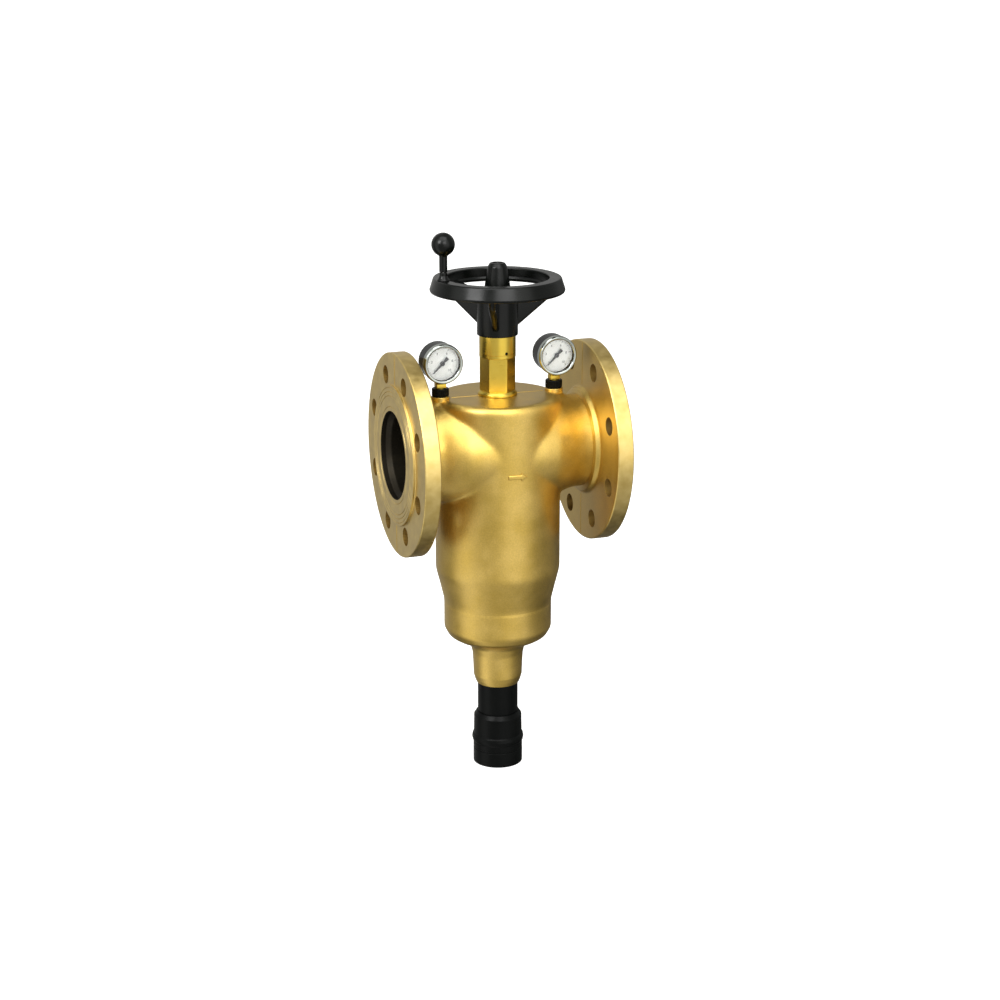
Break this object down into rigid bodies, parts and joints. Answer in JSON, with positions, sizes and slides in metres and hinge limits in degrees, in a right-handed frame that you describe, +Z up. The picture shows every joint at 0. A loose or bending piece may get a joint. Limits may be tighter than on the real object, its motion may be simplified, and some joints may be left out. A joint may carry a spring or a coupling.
{
  "type": "backwash filter",
  "caption": "Flanged backwash water filter: bronze body, screen with turning suction nozzles, handwheel, two gauges and drain valve.",
  "frame": {"origin": "where the axis of the flanged pipe crosses the axis of the filter body; the pipework holds the filter there", "axes": "+Z up along the body axis, +X along the pipe towards the outlet flange, the gauges look towards -Y"},
  "size_m": [0.214, 0.2, 0.5465],
  "materials": {
    "cast_gunmetal": "sand-cast, satin",
    "machined_brass": "turned, semi-gloss",
    "stainless_steel": "turned, semi-gloss",
    "black_phenolic": "moulded, high gloss",
    "black_plastic": "moulded, satin",
    "white_plastic": "moulded, satin",
    "black_rubber": "moulded, matt",
    "clear_window": "clear, polished"
  },
  "bodies": {
    "filter_body": {"housing": "cast_gunmetal", "bottom_bowl": "cast_gunmetal", "bowl_seal_ring": "black_rubber", "bonnet": "machined_brass", "bonnet_gasket": "black_rubber", "bonnet_lock_screw": "stainless_steel", "spindle_seal_ring": "black_rubber", "inlet_sleeve": "stainless_steel", "sleeve_seal_ring": "black_rubber", "screen_cage": "white_plastic", "screen_mesh": "stainless_steel", "screen_top_ring": "white_plastic", "screen_bottom_ring": "white_plastic", "screen_seal_ring": "black_rubber", "drain_seat": "machined_brass", "drain_chamber": "machined_brass", "rotor_guide_bush": "white_plastic", "drain_pipe": "black_plastic", "drain_socket": "black_plastic", "drain_lip_seal": "black_rubber", "inlet_gauge_case": "black_plastic", "inlet_gauge_bezel": "stainless_steel", "inlet_gauge_window": "clear_window", "inlet_gauge_dial": "white_plastic", "inlet_gauge_stem": "machined_brass", "inlet_gauge_bush": "black_plastic", "inlet_gauge_movement": "machined_brass", "inlet_gauge_bourdon_tube": "machined_brass", "outlet_gauge_case": "black_plastic", "outlet_gauge_bezel": "stainless_steel", "outlet_gauge_window": "clear_window", "outlet_gauge_dial": "white_plastic", "outlet_gauge_stem": "machined_brass", "outlet_gauge_bush": "black_plastic", "outlet_gauge_movement": "machined_brass", "outlet_gauge_bourdon_tube": "machined_brass"},
    "drain_plug": {"drain_valve_disc": "machined_brass", "drain_valve_seal": "black_rubber"},
    "turning_set": {"spindle": "stainless_steel", "rotor_tube": "stainless_steel", "rotor_pin": "stainless_steel", "rotor_foot": "machined_brass", "handwheel": "black_phenolic", "hub_cap": "black_phenolic", "hub_nut": "stainless_steel", "crank_foot": "black_phenolic", "crank_pin": "stainless_steel", "suction_nozzle_1": "white_plastic", "suction_nozzle_2": "white_plastic", "suction_nozzle_3": "white_plastic", "suction_nozzle_4": "white_plastic"},
    "crank_grip_body": {"crank_grip": "black_phenolic"},
    "inlet_pointer_body": {"inlet_gauge_pointer": "black_plastic"},
    "outlet_pointer_body": {"outlet_gauge_pointer": "black_plastic"}
  },
  "joints": [
    {"name": "drain_lift", "type": "slide", "parent": "filter_body", "child": "drain_plug", "axis": [0, 0, 1], "range_m": [0, 0.015]},
    {"name": "handwheel_turn", "type": "hinge", "parent": "drain_plug", "child": "turning_set", "pos_m": [0, 0, 0.14], "axis": [0, 0, 1], "range_deg": [0, 1350]},
    {"name": "crank_grip_spin", "type": "hinge", "parent": "turning_set", "child": "crank_grip_body", "pos_m": [-0.05542, -0.00291, 0.19], "axis": [0, 0, 1], "continuous": true},
    {"name": "inlet_pointer_turn", "type": "hinge", "parent": "filter_body", "child": "inlet_pointer_body", "pos_m": [-0.0585, -0.008, 0.0892], "axis": [0, 1, 0], "range_deg": [0, 270], "stiffness_Nm_per_rad": 0.0002, "springref_deg": -28.65},
    {"name": "outlet_pointer_turn", "type": "hinge", "parent": "filter_body", "child": "outlet_pointer_body", "pos_m": [0.0585, -0.008, 0.0892], "axis": [0, 1, 0], "range_deg": [0, 270], "stiffness_Nm_per_rad": 0.0002, "springref_deg": -28.65}
  ],
  "couplings": [
    {"joint": "drain_lift", "follows": "handwheel_turn", "m_per_rad": 0.0006366}
  ]
}
